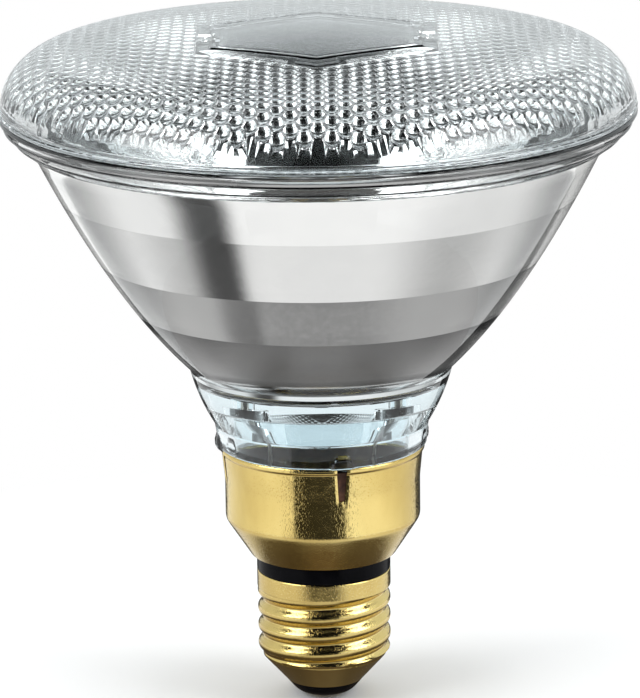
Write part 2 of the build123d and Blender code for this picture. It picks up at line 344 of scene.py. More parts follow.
print("materials made")

# Geometry Nodes trees


def newTree(name, sizes):
    tree = bpy.data.node_groups.new(name, "GeometryNodeTree")
    for item in sizes:
        tree.interface.new_socket(item, in_out="INPUT", socket_type="NodeSocketFloat")
    tree.interface.new_socket("Material", in_out="INPUT", socket_type="NodeSocketMaterial")
    tree.interface.new_socket("Mesh", in_out="OUTPUT", socket_type="NodeSocketGeometry")
    return tree, tree.nodes.new("NodeGroupInput").outputs


def endTree(tree, given, geometry):
    coat = add(tree, "GeometryNodeSetMaterial", {"Geometry": geometry, "Material": given["Material"]})
    add(tree, "NodeGroupOutput", {"Mesh": coat.outputs[0]})


def runTree(name, tree, values):
    # evaluates a tree on an empty mesh and returns the made mesh
    holder = meshObject(name, [], [])
    step = holder.modifiers.new("made", "NODES")
    step.node_group = tree
    for item in tree.interface.items_tree:
        if item.in_out == "INPUT" and item.name in values:
            step[item.identifier] = values[item.name]
    depsgraph = bpy.context.evaluated_depsgraph_get()
    made = bpy.data.meshes.new_from_object(holder.evaluated_get(depsgraph))
    bpy.data.objects.remove(holder)
    return made


# Lens: smooth outside with a raised hexagon, pearls pressed into the inside

lens = {"dome": 470.0, "apex": 132.5, "edge": 60.9, "shoulder": 11.3, "shoulderFoot": 1.95,
        "shoulderSteps": 18, "seam": 118.22, "spokes": 288,
        # outside rings: distance and lift on the hexagon, distance and its share where it fades, round ones
        "hexRings": [(0, 0.2), (4, 0.2), (8, 0.2), (12, 0.2), (15, 0.2), (17, 0.2), (18.0, 0.2),
                     (18.12, 0.195), (18.3, 0.16), (18.42, 0.158), (18.6, 0.17),
                     (19.7, 0.27), (19.85, 0.26), (20.15, 0.03), (20.3, 0)],
        "fadeRings": [(21, 0.95), (22.5, 0.8), (24.5, 0.6), (27, 0.35), (30, 0.12)],
        "roundRings": (33, 36, 39, 42, 45, 47.5, 50),
        # edge under the shoulder: radius, height over the seam, rounding
        "edgeLine": [(60.98, 1.9, 0.12), (61.0, 1.35, 0.2), (60.74, 1.1, 0.1), (60.76, 0.95, 0.1),
                     (61.17, 0.75, 0.15), (61.2, 0.35, 0.15), (60.85, 0, 0.1), (59.5, 0), (58.0, 0, 0.2)],
        # pearls on the inside
        "valley": 2.6, "pearlSag": 0.9, "cuts": 4, "columnPitch": 2.44, "rowPitch": 3.3, "columns": 51,
        "rows": 39, "merge": 0.01, "fieldReach": 58.6, "borderReach": 61.2, "bareHexagon": 24.0,
        "bareRings": (3, 8, 13, 18)}
lens["centre"] = lens["apex"] - lens["dome"]
lens["turn"] = lens["edge"] - lens["shoulder"]  # radius and height of the shoulder's own centre
lens["turnZ"] = lens["centre"] + math.sqrt((lens["dome"] - lens["shoulder"]) ** 2 - lens["turn"] ** 2)
lens["turnStart"] = math.atan2(lens["turn"], lens["turnZ"] - lens["centre"])


def hexShape(a):
    # distance to a hexagon of inradius one with points towards +Y and -Y
    return 1 / math.cos((a + math.pi / 6) % (math.pi / 3) - math.pi / 6)


def domeHeight(r, sink=0.0):
    return lens["centre"] + math.sqrt((lens["dome"] - sink) ** 2 - r * r)


def onShoulder(a, radius):
    return lens["turn"] + radius * math.sin(a), lens["turnZ"] + radius * math.cos(a)


def lensBorder():
    # radius and height of the border round the pearls, by its distance along the inside from the middle
    dome, radius = lens["dome"] - lens["valley"], lens["shoulder"] - lens["valley"]
    return onShoulder(lens["turnStart"] + (lens["borderReach"] - lens["turnStart"] * dome) / radius, radius)


def lensOutside(verts, faces):
    # level field, fine groove, a frame that rises slowly and drops at its edge, then dome, shoulder and edge
    rings = [(t, lift, 1) for t, lift in lens["hexRings"]]
    rings += [(t, 0, share) for t, share in lens["fadeRings"]]
    rings += [(t, 0, 0) for t in lens["roundRings"]]
    sheet = []
    for t, lift, share in rings:
        first = len(verts)
        if t == 0:
            verts.append((0, 0, domeHeight(0) + lift))
            sheet.append([first])
            continue
        for k in range(lens["spokes"]):
            a = 2 * math.pi * k / lens["spokes"]
            r = t * (share * hexShape(a) + 1 - share)
            verts.append((r * math.cos(a), r * math.sin(a), domeHeight(r) + lift))
        sheet.append(list(range(first, len(verts))))
    start, seam, steps = lens["turnStart"], lens["seam"], lens["shoulderSteps"]
    end = math.acos((seam + lens["shoulderFoot"] - lens["turnZ"]) / lens["shoulder"])
    line = [onShoulder(start + (end - start) * step / steps, lens["shoulder"]) for step in range(steps + 1)]
    edge = [(r, seam + up, *soft) for r, up, *soft in lens["edgeLine"]]
    line += softLine([line[-1], *edge, lensBorder()])[1:]
    first = len(verts)
    turn(verts, faces, line, lens["spokes"])
    sheet.append(list(range(first, first + lens["spokes"])))
    for low, high in zip(sheet, sheet[1:]):
        faces.extend(ringFaces(low, high))


def pearlCell():
    # one six-sided cell that bulges downwards, cut into small triangles
    half, column = lens["rowPitch"] / 2, lens["columnPitch"]
    reach, short = (column ** 2 + half ** 2) / (2 * column), (column ** 2 - half ** 2) / (2 * column)
    corners = [(reach, 0), (short, half), (-short, half), (-reach, 0), (-short, -half), (short, -half)]
    ball = (reach ** 2 + lens["pearlSag"] ** 2) / (2 * lens["pearlSag"])
    verts, faces, seen = [], [], {}

    def corner(x, y):
        key = (round(x, 4), round(y, 4))
        if key not in seen:
            seen[key] = len(verts)
            verts.append((x, y, ball - lens["pearlSag"] - math.sqrt(ball ** 2 - x * x - y * y)))
        return seen[key]

    n = lens["cuts"]
    for k in range(6):
        p, q = Vector(corners[k]), Vector(corners[(k + 1) % 6])
        for i in range(n):
            for j in range(n - i):
                tris = [[(i, j), (i + 1, j), (i, j + 1)]]
                if i + j < n - 1:
                    tris.append([(i + 1, j), (i + 1, j + 1), (i, j + 1)])
                for tri in tris:
                    faces.append(tuple(corner(*(p * (u / n) + q * (v / n))) for u, v in tri))
    return meshObject("pearlCell", verts, faces)


def pearlTree(cell):
    # grid of points with every other column shifted, thinned to the field, a pearl on each, laid on the dome
    tree, given = newTree("pearlField", (
        "Column Pitch", "Row Pitch", "Field Radius", "Bare Hexagon", "Dome Radius", "Dome Centre",
        "Turn Radius", "Turn Reach", "Turn Height", "Turn Start"))

    def calc(operation, a, b=None):
        return sums(tree, operation, a, b)

    grid = add(tree, "GeometryNodeMeshGrid", {
        "Vertices X": lens["columns"], "Size X": calc("MULTIPLY", given["Column Pitch"], lens["columns"] - 1),
        "Vertices Y": lens["rows"], "Size Y": calc("MULTIPLY", given["Row Pitch"], lens["rows"] - 1)})
    spot = axes(tree, tree.nodes.new("GeometryNodeInputPosition").outputs[0])
    column = calc("ROUND", calc("DIVIDE", spot["X"], given["Column Pitch"]))
    odd = calc("ABSOLUTE", calc("MODULO", column, 2.0))
    shift = joinAxes(tree, {"Y": calc("MULTIPLY", odd, calc("MULTIPLY", given["Row Pitch"], 0.5))})
    moved = add(tree, "GeometryNodeSetPosition", {"Geometry": grid.outputs["Mesh"], "Offset": shift})
    # what lies past the field or in the hexagon goes
    reach = calc("SQRT", calc("ADD", *(calc("MULTIPLY", spot[key], spot[key]) for key in "XY")))
    outHex = calc("GREATER_THAN", hexReach(tree, spot), given["Bare Hexagon"])
    inField = calc("LESS_THAN", reach, given["Field Radius"])
    thin = add(tree, "GeometryNodeDeleteGeometry", {
        "Geometry": moved.outputs[0], "Selection": calc("LESS_THAN", calc("MULTIPLY", outHex, inField), 0.5)})
    pearl = add(tree, "GeometryNodeObjectInfo", {"Object": cell}).outputs["Geometry"]
    onPoints = add(tree, "GeometryNodeInstanceOnPoints", {"Points": thin.outputs[0], "Instance": pearl})
    real = add(tree, "GeometryNodeRealizeInstances", {0: onPoints.outputs[0]})
    merged = add(tree, "GeometryNodeMergeByDistance", {
        "Geometry": real.outputs[0], "Distance": lens["merge"] * mm})
    # the flat distance from the middle becomes a distance along the dome and then round the shoulder
    domeTurn = calc("DIVIDE", reach, given["Dome Radius"])
    past = calc("MAXIMUM", calc("SUBTRACT", domeTurn, given["Turn Start"]), 0.0)
    onTurn = calc("GREATER_THAN", past, 0.0)
    angle = calc("ADD", calc("MINIMUM", domeTurn, given["Turn Start"]),
                 calc("DIVIDE", calc("MULTIPLY", past, given["Dome Radius"]), given["Turn Radius"]))

    def either(domeValue, turnValue):
        return calc("ADD", domeValue, calc("MULTIPLY", onTurn, calc("SUBTRACT", turnValue, domeValue)))

    arm = calc("ADD", either(given["Dome Radius"], given["Turn Radius"]), spot["Z"])
    base = either(given["Dome Centre"], given["Turn Height"])
    out = calc("ADD", calc("MULTIPLY", calc("SINE", angle), arm),
               calc("MULTIPLY", onTurn, given["Turn Reach"]))
    share = calc("DIVIDE", out, calc("MAXIMUM", reach, 1e-6))
    place = joinAxes(tree, {"X": calc("MULTIPLY", spot["X"], share), "Y": calc("MULTIPLY", spot["Y"], share),
                            "Z": calc("ADD", base, calc("MULTIPLY", calc("COSINE", angle), arm))})
    laid = add(tree, "GeometryNodeSetPosition", {"Geometry": merged.outputs[0], "Position": place})
    endTree(tree, given, laid.outputs[0])
    return tree


def makeLens():
    cell = pearlCell()
    made = runTree("pearlHolder", pearlTree(cell), {
        "Column Pitch": lens["columnPitch"] * mm, "Row Pitch": lens["rowPitch"] * mm,
        "Field Radius": lens["fieldReach"] * mm, "Bare Hexagon": lens["bareHexagon"] * mm,
        "Dome Radius": (lens["dome"] - lens["valley"]) * mm, "Dome Centre": lens["centre"] * mm,
        "Turn Radius": (lens["shoulder"] - lens["valley"]) * mm, "Turn Reach": lens["turn"] * mm,
        "Turn Height": lens["turnZ"] * mm, "Turn Start": lens["turnStart"], "Material": lensGlass})
    bpy.data.objects.remove(cell)
    verts = [tuple(v.co / mm) for v in made.vertices]
    faces = [tuple(p.vertices) for p in made.polygons]
    print("pearls", len(faces) // (6 * lens["cuts"] ** 2))
    used = {}
    for face in faces:
        for a, b in zip(face, face[1:] + face[:1]):
            key = (min(a, b), max(a, b))
            used[key] = used.get(key, 0) + 1
    border = [edge for edge, times in used.items() if times == 1]
    names = sorted({v for edge in border for v in edge})
    index = {v: k for k, v in enumerate(names)}
    # the bare hexagon and the strip round the pearls are filled flat, then given their heights
    coords = [verts[v][:2] for v in names]
    edges = [(index[a], index[b]) for a, b in border] + loopEdges(len(coords), lens["spokes"])
    borderR, borderZ = lensBorder()
    coords += circlePoints(0, 0, borderR, lens["spokes"])
    for t in lens["bareRings"]:  # inner points that let the bare hexagon follow the dome
        coords += circlePoints(0, 0, t, 6 * t)
    points, tris, sources = fillFlat(coords, edges)
    first = len(verts)
    for point, source in zip(points, sources):
        own = [names[s] for s in source if s < len(names)]
        r = math.hypot(*point)
        if own:
            z = verts[own[0]][2]
        else:
            z = borderZ if r > lens["turn"] else domeHeight(r, lens["valley"])
        verts.append((*point, z))
    faces += [tuple(first + v for v in tri) for tri in tris]
    lensOutside(verts, faces)
    settle(meshObject("lensGlassPiece", verts, faces), "lens", lensGlass)


makeLens()

# Bowl glass, and the mirror laid in it

bowl = {"neckTop": 67.6, "height": 44.8, "low": 25.65, "mouth": 55.35, "wall": 3.2, "spokes": 320,
        "zones": (0.0, 13.0, 23.0, 35.4, 44.8), "zoneStep": 0.3, "zonePieces": 5,
        "zoneEnd": [(-0.3, -1.3), (-0.12, -0.35, 0.9)],  # steeper end under the lowest zone, from its foot
        "flangeFoot": 112.1, "wallPieces": 32, "neckBulge": 0.5, "neckPieces": 16,
        # rim and foot: radius, height, rounding
        "rim": [(54.0, 114.3), (57.4, 117.7, 0.4), (58.0, 118.18, 0.2), (59.5, 118.18), (60.85, 118.18, 0.1),
                (61.2, 117.8, 0.15), (61.2, 117.5, 0.12), (60.95, 117.35, 0.1), (60.15, 116.05, 0.1),
                (60.3, 115.9, 0.08), (60.28, 115.7, 0.1), (59.95, 115.55, 0.1), (58.3, 114.05, 0.1),
                (58.45, 113.9, 0.1), (58.3, 113.65, 0.1), (57.9, 113.5, 0.1), (56.75, 112.55, 0.3),
                (56.2, 112.4, 0.25), (55.55, 112.3, 0.3)],
        "foot": [(20.9, 56.2, 0.4), (20.75, 55.2), (20.62, 54.4), (20.55, 53.9), (20.52, 53.2), (20.48, 52.6),
                 (20.4, 51.8, 0.2), (20.0, 51.42, 0.2), (18.3, 51.42, 0.3), (18.0, 51.0), (18.0, 46.0),
                 (18.0, 40.52, 0.3), (16.6, 40.52, 0.3), (16.6, 46.0), (16.6, 54.0), (16.6, 61.4, 0.4),
                 (16.0, 61.4)],
        # floor of the neck, with its boss, the stub under it and the seats of the ferrules
        "floorTop": 64.8, "floorReach": 19.65, "floorCorner": (21.4, 65.6), "wellTop": 61.4,
        "wellReach": 16.0, "bossReach": 15.5, "bossDrop": 6.6,
        "bossRings": (2.6, 3.6, 4.8, 6.0, 7.4, 8.8, 10.2, 11.6, 13.0, 14.3, 15.5),
        "stubRoot": 1.8, "stub": [(1.4, 53.9), (0.9, 52.7, 0.3), (0.5, 52.4, 0.2), (0, 52.4)],
        "seats": (-10, 10), "seatHole": 1.6, "seatWidth": 3.25, "seatShelf": 62.8, "seatClear": 0.12,
        "seatSpokes": 48}
lug = {"turned": -79.0,  # degrees
       "from": 51.4, "height": 2.7, "foot": 4.4, "top": 2.6, "stand": 0.55, "pastRadius": 19.0,
       "margin": (0.1, 1.0), "sideFade": 0.35, "topFade": (0.6, 0.4)}
film = {"behind": (0.02, -0.015), "front": (-0.12, 0.02)}  # how far its two sides lie from the zones' line


def bowlRadius(z):
    share = (z - bowl["neckTop"]) / bowl["height"]
    return math.sqrt(bowl["low"] ** 2 + share * (bowl["mouth"] ** 2 - bowl["low"] ** 2))


def mirrorLine():
    # four straight zones, each a step in from the one above
    line, pieces = [], bowl["zonePieces"]
    for low, high in zip(bowl["zones"], bowl["zones"][1:]):
        step = bowl["zoneStep"] if high < bowl["height"] else 0
        start = (bowlRadius(bowl["neckTop"] + low) - bowl["wall"], bowl["neckTop"] + low)
        end = (bowlRadius(bowl["neckTop"] + high) - bowl["wall"] - step, bowl["neckTop"] + high)
        for k in range(pieces + 1):
            t = k / pieces
            line.append((start[0] + (end[0] - start[0]) * t, start[1] + (end[1] - start[1]) * t))
    low = line[0]
    end = [(low[0] + out, low[1] + up, *soft) for out, up, *soft in bowl["zoneEnd"]]
    return softLine([*end, low])[:-1] + line


def lugShift(a, r, z):
    # four low lugs on the shoulder, one above each slot of the skirt
    low, top = lug["from"], lug["from"] + lug["height"]
    if r < lug["pastRadius"] or not low - lug["margin"][0] < z < top + lug["margin"][1]:
        return r, z
    share = min(1, max(0, (z - low) / lug["height"]))
    half = (lug["foot"] + (lug["top"] - lug["foot"]) * share) / 2
    off = abs(math.radians((math.degrees(a) - lug["turned"] + 45) % 90 - 45)) * r
    across = 1 - smooth(half - lug["sideFade"], half + lug["sideFade"], off)
    along = 1 - smooth(top - lug["topFade"][0], top + lug["topFade"][1], z)
    return r + lug["stand"] * across * along, z


def bossHeight(r):
    # underside of the floor: a ball that bulges down, flat outside it
    reach, drop = bowl["bossReach"], bowl["bossDrop"]
    ball = (reach ** 2 + drop ** 2) / (2 * drop)
    return bowl["wellTop"] if r >= reach else bowl["wellTop"] - drop + ball - math.sqrt(ball ** 2 - r ** 2)


def bowlLine():
    # up the inside, over the rim, down the wall and the neck, and back up inside the heel
    line = [(bowl["floorReach"], bowl["floorTop"]), bowl["floorCorner"]] + mirrorLine()
    line += softLine([line[-1], *bowl["rim"]])[1:]
    top, pieces = bowl["flangeFoot"], bowl["wallPieces"]
    for k in range(1, pieces + 1):
        z = top - (top - bowl["neckTop"]) * k / pieces
        line.append((bowlRadius(z), z))
    low, high = Vector(bowl["foot"][0][:2]), Vector((bowl["low"], bowl["neckTop"]))
    out = Vector((high.y - low.y, low.x - high.x)).normalized() * bowl["neckBulge"]
    for k in range(1, bowl["neckPieces"]):
        t = 1 - k / bowl["neckPieces"]
        p = low.lerp(high, t) + out * (4 * t * (1 - t))
        line.append((p.x, p.y))
    return line + softLine([line[-1], *bowl["foot"]])[1:]


def glassFloor(verts, faces):
    # flat on top and bulged below, with the stub and the two seats for the ferrules
    root, seats, spokes = bowl["stubRoot"], bowl["seats"], bowl["seatSpokes"]
    hole, width = bowl["seatHole"], bowl["seatWidth"]
    turn(verts, faces, softLine([(root, bossHeight(root)), *bowl["stub"]]), spokes)
    for radius, opening, below in ((bowl["floorReach"], hole, False), (bowl["wellReach"], width, True)):
        coords = circlePoints(0, 0, radius, bowl["spokes"])
        edges = loopEdges(0, bowl["spokes"])
        for x, r in [(seat, opening) for seat in seats] + ([(0, root)] if below else []):
            edges += loopEdges(len(coords), spokes)
            coords += circlePoints(x, 0, r, spokes)
        clear = opening + bowl["seatClear"]
        for r in bowl["bossRings"] if below else ():
            ring = circlePoints(0, 0, r, 2 * spokes)
            coords += [(x, y) for x, y in ring if min(math.hypot(x - seat, y) for seat in seats) > clear]
        points, tris, _ = fillFlat(coords, edges)
        first = len(verts)
        verts += [(x, y, bossHeight(math.hypot(x, y)) if below else bowl["floorTop"]) for x, y in points]
        faces += [tuple(first + v for v in tri) for tri in tris]
    for seat in seats:
        first = len(verts)
        turn(verts, faces, [(width, bowl["wellTop"]), (width, bowl["seatShelf"]), (hole, bowl["seatShelf"]),
                            (hole, bowl["floorTop"])], spokes)
        for k in range(first, len(verts)):
            x, y, z = verts[k][0] + seat, verts[k][1], verts[k][2]
            verts[k] = (x, y, bossHeight(math.hypot(x, y)) if k < first + spokes else z)


def makeReflector():
    verts, faces = [], []
    turn(verts, faces, bowlLine(), bowl["spokes"], lugShift)
    glassFloor(verts, faces)
    settle(meshObject("bowlGlassPiece", verts, faces), "reflector", bowlGlass)


def makeMirror():
    line = mirrorLine()
    outer = [(r + film["behind"][0], z + film["behind"][1]) for r, z in line]
    inner = [(r + film["front"][0], z + film["front"][1]) for r, z in reversed(line)]
    obj = turnedObject("mirrorPiece", outer + inner, bowl["spokes"], closed=True)
    settle(obj, "mirror_film", mirrorMetal)


makeReflector()
makeMirror()

# Brass skirt: sheet with a rolled lip and four tapered slots

skirt = {"wall": 0.4, "top": 51.4, "slotFoot": 1.2, "slotTop": 2.1, "slotDepth": 6.7, "turnedIn": 0.15,
         "turned": -79.0,  # degrees
         "slotColumns": (-1, -0.5, 0, 0.5), "columns": 80,
         # from the cone's hole up to the lip: radius, height, rounding
         "line": [(11.5, 29.42), (14.2, 29.42, 0.35), (18.6, 36.15, 0.5), (19.05, 37.0, 0.6), (19.05, 38.5),
                  (19.05, 40.0), (19.05, 41.5), (19.05, 43.0), (19.05, 44.0), (19.06, 44.7), (19.12, 45.4),
                  (19.2, 46.2), (19.28, 47.0), (19.36, 47.8), (19.44, 48.6), (19.52, 49.4),
                  (19.58, 50.1, 0.1), (19.8, 50.35, 0.12), (20.0, 50.6, 0.15), (20.0, 51.15, 0.15),
                  (19.85, 51.4)]}
skirt["slotZ"] = skirt["top"] - skirt["slotDepth"]


def skirtAngles(r, z):
    # columns of the sheet: a few across each slot, even ones between
    share = max(0, (z - skirt["slotZ"]) / skirt["slotDepth"])
    half = (skirt["slotFoot"] + (skirt["slotTop"] - skirt["slotFoot"]) * share) / 2 / r
    angles = []
    for quarter in range(4):
        centre = math.radians(skirt["turned"] + 90 * quarter)
        angles += [centre + u * half for u in skirt["slotColumns"]]
        between = math.pi / 2 - 2 * half
        angles += [centre + half + between * k / skirt["columns"] for k in range(skirt["columns"])]
    return angles


def makeSkirt():
    line = softLine(skirt["line"])
    slotRow = min(range(len(line)), key=lambda k: abs(line[k][1] - skirt["slotZ"]))
    inside = []
    for k, (r, z) in enumerate(line):
        run = Vector(line[min(k + 1, len(line) - 1)]) - Vector(line[max(k - 1, 0)])
        side = Vector((-run.y, run.x)).normalized() * skirt["wall"]
        inside.append((r + side.x, min(z + side.y, skirt["top"])))
    across = len(skirt["slotColumns"])  # columns of a slot, the first of each block
    block = across + skirt["columns"]
    verts, faces, sheets = [], [], []
    for rows in (line, inside):
        made = []
        for k, (r, z) in enumerate(rows):
            first = len(verts)
            for c, a in enumerate(skirtAngles(*line[k])):
                onEdge = rows is line and k >= slotRow and c % block in (0, across)
                rr = r - skirt["turnedIn"] if onEdge else r
                verts.append((rr * math.cos(a), rr * math.sin(a), z))
            made.append(list(range(first, len(verts))))
        sheets.append(made)
    outer, inner = sheets
    count = len(outer[0])
    for k in range(len(line) - 1):
        for c in range(count):
            d = (c + 1) % count
            if k >= slotRow and c % block < across:
                continue
            faces.append((outer[k][c], outer[k][d], outer[k + 1][d], outer[k + 1][c]))
            faces.append((inner[k][d], inner[k][c], inner[k + 1][c], inner[k + 1][d]))
            for edge, first in ((c, across), (d, 0)):  # the slot's two walls
                if k >= slotRow and edge % block == first:
                    faces.append((outer[k][edge], outer[k + 1][edge], inner[k + 1][edge], inner[k][edge]))
    for c in range(count):
        d = (c + 1) % count
        for row in (0, slotRow if c % block < across else len(line) - 1):
            faces.append((outer[row][c], outer[row][d], inner[row][d], inner[row][c]))
    settle(meshObject("skirtPiece", verts, faces), "skirt", brass)


makeSkirt()

# Screw shell: rolled thread, right hand

shell = {"mouth": 7.55, "mouthZ": 3.4, "coneTop": 8.5, "root": 12.1, "crest": 13.05, "pitch": 3.629,
         "firstCrest": 9.0, "crestForm": 1.3, "coneSink": 0.25, "coneFade": 0.36, "collar": 13.1,
         "collarZ": 22.6, "collarFade": (1.1, 0.1), "top": 26.0, "lip": 0.12, "lipRings": (0.1, 0.25),
         "spokes": 240, "rows": 150,
         "inner": [(12.65, 26.0), (12.65, 22.9), (11.75, 21.9), (11.65, 21.4), (11.65, 8.7), (11.4, 8.3),
                   (6.95, 3.4)]}


def coneRadius(z):
    slope = (shell["root"] - shell["mouth"]) / (shell["coneTop"] - shell["mouthZ"])
    return shell["mouth"] + slope * (z - shell["mouthZ"])


def shellBase(z):
    before, after = shell["collarFade"]
    rise = smooth(shell["collarZ"] - before, shell["collarZ"] + after, z)
    return min(shell["root"], coneRadius(z)) + (shell["collar"] - shell["root"]) * rise


def shellOutside(a, z):
    phase = (z - shell["firstCrest"]) / shell["pitch"] - a / (2 * math.pi)
    off = abs(phase - round(phase)) * 2
    wave = 0.5 + 0.5 * math.cos(math.pi * off ** shell["crestForm"])
    ridge = shell["root"] + (shell["crest"] - shell["root"]) * wave
    limit = coneRadius(z) - shell["coneSink"]  # the ridge sinks softly into the cone
    ridge = limit + (ridge - limit) * smooth(-shell["coneFade"], shell["coneFade"], limit - ridge)
    return max(shellBase(z), ridge)


def makeShell():
    low, high = shell["mouthZ"], shell["top"] - shell["lip"]
    heights = [low + (high - low) * k / shell["rows"] for k in range(shell["rows"] + 1)]
    line = [(shellBase(z), z) for z in heights]
    line += [(shell["collar"] - inset, shell["top"]) for inset in shell["lipRings"]]

    def shift(a, r, z):
        onOutside = z <= high and abs(r - shellBase(z)) < 1e-6
        return (shellOutside(a, z), z) if onOutside else (r, z)

    obj = turnedObject("shellPiece", line + shell["inner"], shell["spokes"], shift, closed=True)
    settle(obj, "screw_shell", brass, angle=40)


makeShell()

# Small turned pieces: node, slot, material, spokes and section

small = {
    "ringPiece": ("insulating_ring", "black_insulator", blackGlaze, 160, [
        (8.0, 23.2, 0.2), (12.6, 23.2, 0.2), (12.6, 26.0), (12.9, 26.03, 0.1), (13.1, 26.25, 0.15),
        (13.1, 27.7), (13.1, 29.15, 0.15), (12.95, 29.38, 0.1), (11.45, 29.4), (11.45, 32.2, 0.2),
        (8.0, 32.2, 0.2), (8.0, 27.7)]),
    "insulatorPiece": ("end_insulator", "black_insulator", blackGlaze, 128, [
        (1.15, 0.62, 0.1), (3.6, 0.62), (4.8, 0.75, 0.5), (6.0, 1.55, 0.5), (7.4, 3.2, 0.2), (7.45, 3.4),
        (6.85, 3.4), (8.5, 5.5), (10.2, 7.55, 0.2), (1.15, 7.55, 0.2), (1.15, 4.0)]),
    "contactPiece": ("centre_contact", "contact_brass", contactBrass, 96, [
        (0, 0.21), (2.6, 0.21), (3.25, 0.26, 0.15), (3.4, 0.42, 0.1), (3.3, 0.58, 0.1), (1.1, 0.6, 0.08),
        (1.1, 1.6), (1.1, 2.75, 0.15), (0.9, 2.8), (0, 2.8)]),
    "solderPiece": ("contact_solder", "solder", solderMetal, 64, [
        (0, 0.0), (0.6, 0.004), (1.1, 0.035, 0.2), (1.45, 0.12, 0.1), (1.6, 0.2), (0, 0.2)]),
}


def makeSmall(name, node, slotName, material, spokes, section):
    hasPole = section[0][0] == 0
    if hasPole:
        line = softLine(section)
    else:  # round a ring, back to its first corner
        line = softLine(section + [section[0][:2]])[:-1]
    settle(turnedObject(name, line, spokes, closed=not hasPole), node, material)


for name, choices in small.items():
    makeSmall(name, *choices)

# Filament coil

filament = {"height": 70.4, "length": 14.0, "radius": 0.76, "wire": 0.13, "turns": 17, "reach": 9.2,
            "turnSteps": 14, "wireSides": 8}


def coilTree():
    # a spiral with a straight tail at each end, swept and laid along X
    tree, given = newTree("filamentCoil", (
        "Coil Length", "Coil Radius", "Wire Radius", "Tail Length", "Height", "Turns"))
    spiral = add(tree, "GeometryNodeCurveSpiral", {
        "Resolution": filament["turnSteps"], "Rotations": given["Turns"], "Height": given["Coil Length"],
        "Start Radius": given["Coil Radius"], "End Radius": given["Coil Radius"]})
    joined = add(tree, "GeometryNodeJoinGeometry", {0: spiral.outputs[0]})
    half = sums(tree, "MULTIPLY", given["Coil Length"], 0.5)
    for sign in (-1.0, 1.0):
        ends = {}
        for key, reach, aside in (("Start", half, given["Coil Radius"]), ("End", given["Tail Length"], 0.0)):
            along = sums(tree, "ADD", half, sums(tree, "MULTIPLY", reach, sign))
            ends[key] = joinAxes(tree, {"X": aside, "Z": along})
        tail = add(tree, "GeometryNodeCurvePrimitiveLine", ends)
        tree.links.new(tail.outputs[0], joined.inputs[0])
    ring = add(tree, "GeometryNodeCurvePrimitiveCircle", {
        "Resolution": filament["wireSides"], "Radius": given["Wire Radius"]})
    swept = add(tree, "GeometryNodeCurveToMesh", {
        "Curve": joined.outputs[0], "Profile Curve": ring.outputs[0], "Fill Caps": True})
    place = joinAxes(tree, {"X": sums(tree, "MULTIPLY", half, -1.0), "Z": given["Height"]})
    placed = add(tree, "GeometryNodeTransform", {
        "Geometry": swept.outputs[0], "Translation": place, "Rotation": (0, math.pi / 2, 0)})
    real = add(tree, "GeometryNodeRealizeInstances", {0: placed.outputs[0]})
    endTree(tree, given, real.outputs[0])
    return tree


def makeFilament():
    made = runTree("coilHolder", coilTree(), {
        "Coil Length": filament["length"] * mm, "Coil Radius": filament["radius"] * mm,
        "Wire Radius": filament["wire"] * mm, "Tail Length": filament["reach"] * mm,
        "Height": filament["height"] * mm, "Turns": float(filament["turns"]), "Material": tungsten})
    settle(newObject("filamentPiece", made), "filament", tungsten, angle=60)


makeFilament()

# CAD nodes that are shown as they are

shownNodes = {"skirt_cement": cementClay, "ferrule_left": ferruleMetal, "ferrule_right": ferruleMetal,
              "lead_post_left": leadMetal, "lead_post_right": leadMetal, "wire_to_contact": leadMetal,
              "wire_to_shell": leadMetal, "shell_solder": solderMetal}
for node, material in shownNodes.items():
    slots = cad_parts[node].data.materials
    if len(slots):
        slots[0] = material
    else:
        slots.append(material)
print("pieces made")

# Stage: floor, sky, cards, lights and camera

paper = {"cloud": 8, "lift": 1.02, "rough": 0.8}


def stageMaterial(name, level, gloss=0.5):
    material, tree, shader, place = newMaterial(name)
    tones = [(level,) * 3, (min(1, level * paper["lift"]),) * 3]
    cloud = noise(tree, place, paper["cloud"], detail=2)
    fill(tree, shader, {"Base Color": clouded(tree, cloud, tones), "Roughness": paper["rough"],
                        "Specular IOR Level": gloss})
    return material


# emission-only paint for the stage cards that carry painted shade and painted reflections
def glowMaterial(name):
    material = bpy.data.materials.new(name)
    material.use_nodes = True
    material.cycles.emission_sampling = "NONE"
    tree = material.node_tree
    glow = tree.nodes.new("ShaderNodeEmission")
    tree.links.new(glow.outputs[0], tree.nodes["Material Output"].inputs["Surface"])
    return material, tree, glow


floor = {"height": -0.05, "rings": (0, 60, 200, 600, 2500), "spokes": 96, "level": 0.86,
         "white": (0.03, 0.16)}  # metres from the lamp where the paper turns white to the camera


def makeFloor():
    obj = turnedObject("floor", [(r, floor["height"]) for r in floor["rings"]], floor["spokes"])
    material = stageMaterial("floorPale", floor["level"])
    obj.data.materials.append(material)
    tree = material.node_tree
    # white to the camera away from the lamp, plain paper with its shadow close by
    path = tree.nodes.new("ShaderNodeLightPath").outputs
    away = spread(tree, farOut(tree, objectPlace(tree)), 0.0, 1.0, *floor["white"])
    seen = sums(tree, "MAXIMUM", path["Is Camera Ray"], path["Is Transmission Ray"])
    glow = add(tree, "ShaderNodeEmission", {"Color": (1, 1, 1, 1)})
    blend = add(tree, "ShaderNodeMixShader", {
        "Fac": sums(tree, "MULTIPLY", seen, away), 1: tree.nodes["Principled BSDF"].outputs[0],
        2: glow.outputs[0]})
    tree.links.new(blend.outputs[0], tree.nodes["Material Output"].inputs["Surface"])


# nearAside and farAside: lift of the pale wall, and the range of |X| over which it comes
sky = {"tint": (0.93, 0.985, 1.0), "nearAside": (0.11, 0.02, 0.06), "farAside": (0.4, 0.25, 0.9),
       "behind": 1.3, "overhead": 0.006, "fall": (0.2, 0.28), "diffuse": 0.55}


